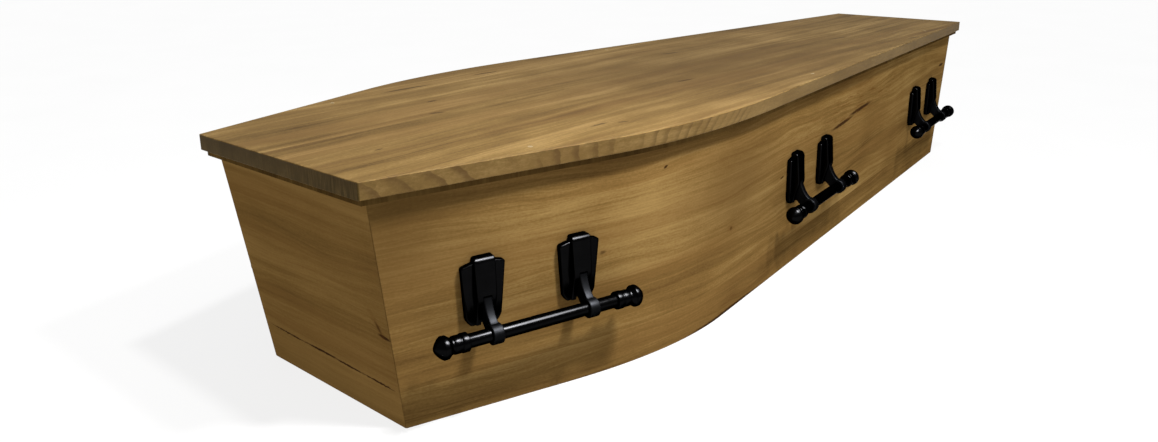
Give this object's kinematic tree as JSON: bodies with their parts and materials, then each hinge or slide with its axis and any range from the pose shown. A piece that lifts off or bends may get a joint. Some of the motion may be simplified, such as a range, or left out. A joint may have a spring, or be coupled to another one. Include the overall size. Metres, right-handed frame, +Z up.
{
  "type": "wooden coffin",
  "caption": "Shouldered wooden coffin with an overhanging screwed lid, outward leaning ends and black swing-bar handles along both sides.",
  "frame": {"origin": "middle of the underside, on the floor", "axes": "+X from the head end to the foot end, +Z up, +Y to the left of a person lying in it"},
  "size_m": [1.98, 0.6444, 0.359],
  "materials": {
    "lid_wood": "stained and satin varnished",
    "box_wood": "stained and satin varnished",
    "screw_metal": "pale plated",
    "plate_black": "glossy black",
    "arm_black": "matt black",
    "bar_black": "satin to glossy black"
  },
  "bodies": {
    "box": {"lid": "lid_wood", "lid_rim": "box_wood", "side_right": "box_wood", "side_left": "box_wood", "head_end": "box_wood", "foot_end": "box_wood", "base": "box_wood", "lid_screw_right_1": "screw_metal", "lid_screw_right_2": "screw_metal", "lid_screw_right_3": "screw_metal", "lid_screw_left_1": "screw_metal", "lid_screw_left_2": "screw_metal", "lid_screw_left_3": "screw_metal", "handle_head_right_plate_head": "plate_black", "handle_head_right_plate_foot": "plate_black", "handle_middle_right_plate_head": "plate_black", "handle_middle_right_plate_foot": "plate_black", "handle_foot_right_plate_head": "plate_black", "handle_foot_right_plate_foot": "plate_black", "handle_head_left_plate_head": "plate_black", "handle_head_left_plate_foot": "plate_black", "handle_middle_left_plate_head": "plate_black", "handle_middle_left_plate_foot": "plate_black", "handle_foot_left_plate_head": "plate_black", "handle_foot_left_plate_foot": "plate_black"},
    "swing_head_right": {"handle_head_right_arm_head": "arm_black", "handle_head_right_arm_foot": "arm_black", "handle_head_right_bar": "bar_black", "handle_head_right_tip_head": "bar_black", "handle_head_right_tip_foot": "bar_black"},
    "swing_middle_right": {"handle_middle_right_arm_head": "arm_black", "handle_middle_right_arm_foot": "arm_black", "handle_middle_right_bar": "bar_black", "handle_middle_right_tip_head": "bar_black", "handle_middle_right_tip_foot": "bar_black"},
    "swing_foot_right": {"handle_foot_right_arm_head": "arm_black", "handle_foot_right_arm_foot": "arm_black", "handle_foot_right_bar": "bar_black", "handle_foot_right_tip_head": "bar_black", "handle_foot_right_tip_foot": "bar_black"},
    "swing_head_left": {"handle_head_left_arm_head": "arm_black", "handle_head_left_arm_foot": "arm_black", "handle_head_left_bar": "bar_black", "handle_head_left_tip_head": "bar_black", "handle_head_left_tip_foot": "bar_black"},
    "swing_middle_left": {"handle_middle_left_arm_head": "arm_black", "handle_middle_left_arm_foot": "arm_black", "handle_middle_left_bar": "bar_black", "handle_middle_left_tip_head": "bar_black", "handle_middle_left_tip_foot": "bar_black"},
    "swing_foot_left": {"handle_foot_left_arm_head": "arm_black", "handle_foot_left_arm_foot": "arm_black", "handle_foot_left_bar": "bar_black", "handle_foot_left_tip_head": "bar_black", "handle_foot_left_tip_foot": "bar_black"}
  },
  "joints": [
    {"name": "handle_head_right_hinge", "type": "hinge", "parent": "box", "child": "swing_head_right", "pos_m": [-0.75515, -0.23262, 0.16567], "axis": [-0.9589, 0.2837, 0], "range_deg": [0, 50]},
    {"name": "handle_middle_right_hinge", "type": "hinge", "parent": "box", "child": "swing_middle_right", "pos_m": [-0.01694, -0.26493, 0.16581], "axis": [-0.9951, -0.0993, 0], "range_deg": [0, 50]},
    {"name": "handle_foot_right_hinge", "type": "hinge", "parent": "box", "child": "swing_foot_right", "pos_m": [0.74708, -0.1886, 0.16576], "axis": [-0.9951, -0.0994, 0], "range_deg": [0, 50]},
    {"name": "handle_head_left_hinge", "type": "hinge", "parent": "box", "child": "swing_head_left", "pos_m": [-0.75515, 0.23262, 0.16567], "axis": [0.9589, 0.2837, 0], "range_deg": [0, 50]},
    {"name": "handle_middle_left_hinge", "type": "hinge", "parent": "box", "child": "swing_middle_left", "pos_m": [-0.01694, 0.26493, 0.16581], "axis": [0.9951, -0.0993, 0], "range_deg": [0, 50]},
    {"name": "handle_foot_left_hinge", "type": "hinge", "parent": "box", "child": "swing_foot_left", "pos_m": [0.74708, 0.1886, 0.16576], "axis": [0.9951, -0.0994, 0], "range_deg": [0, 50]}
  ]
}
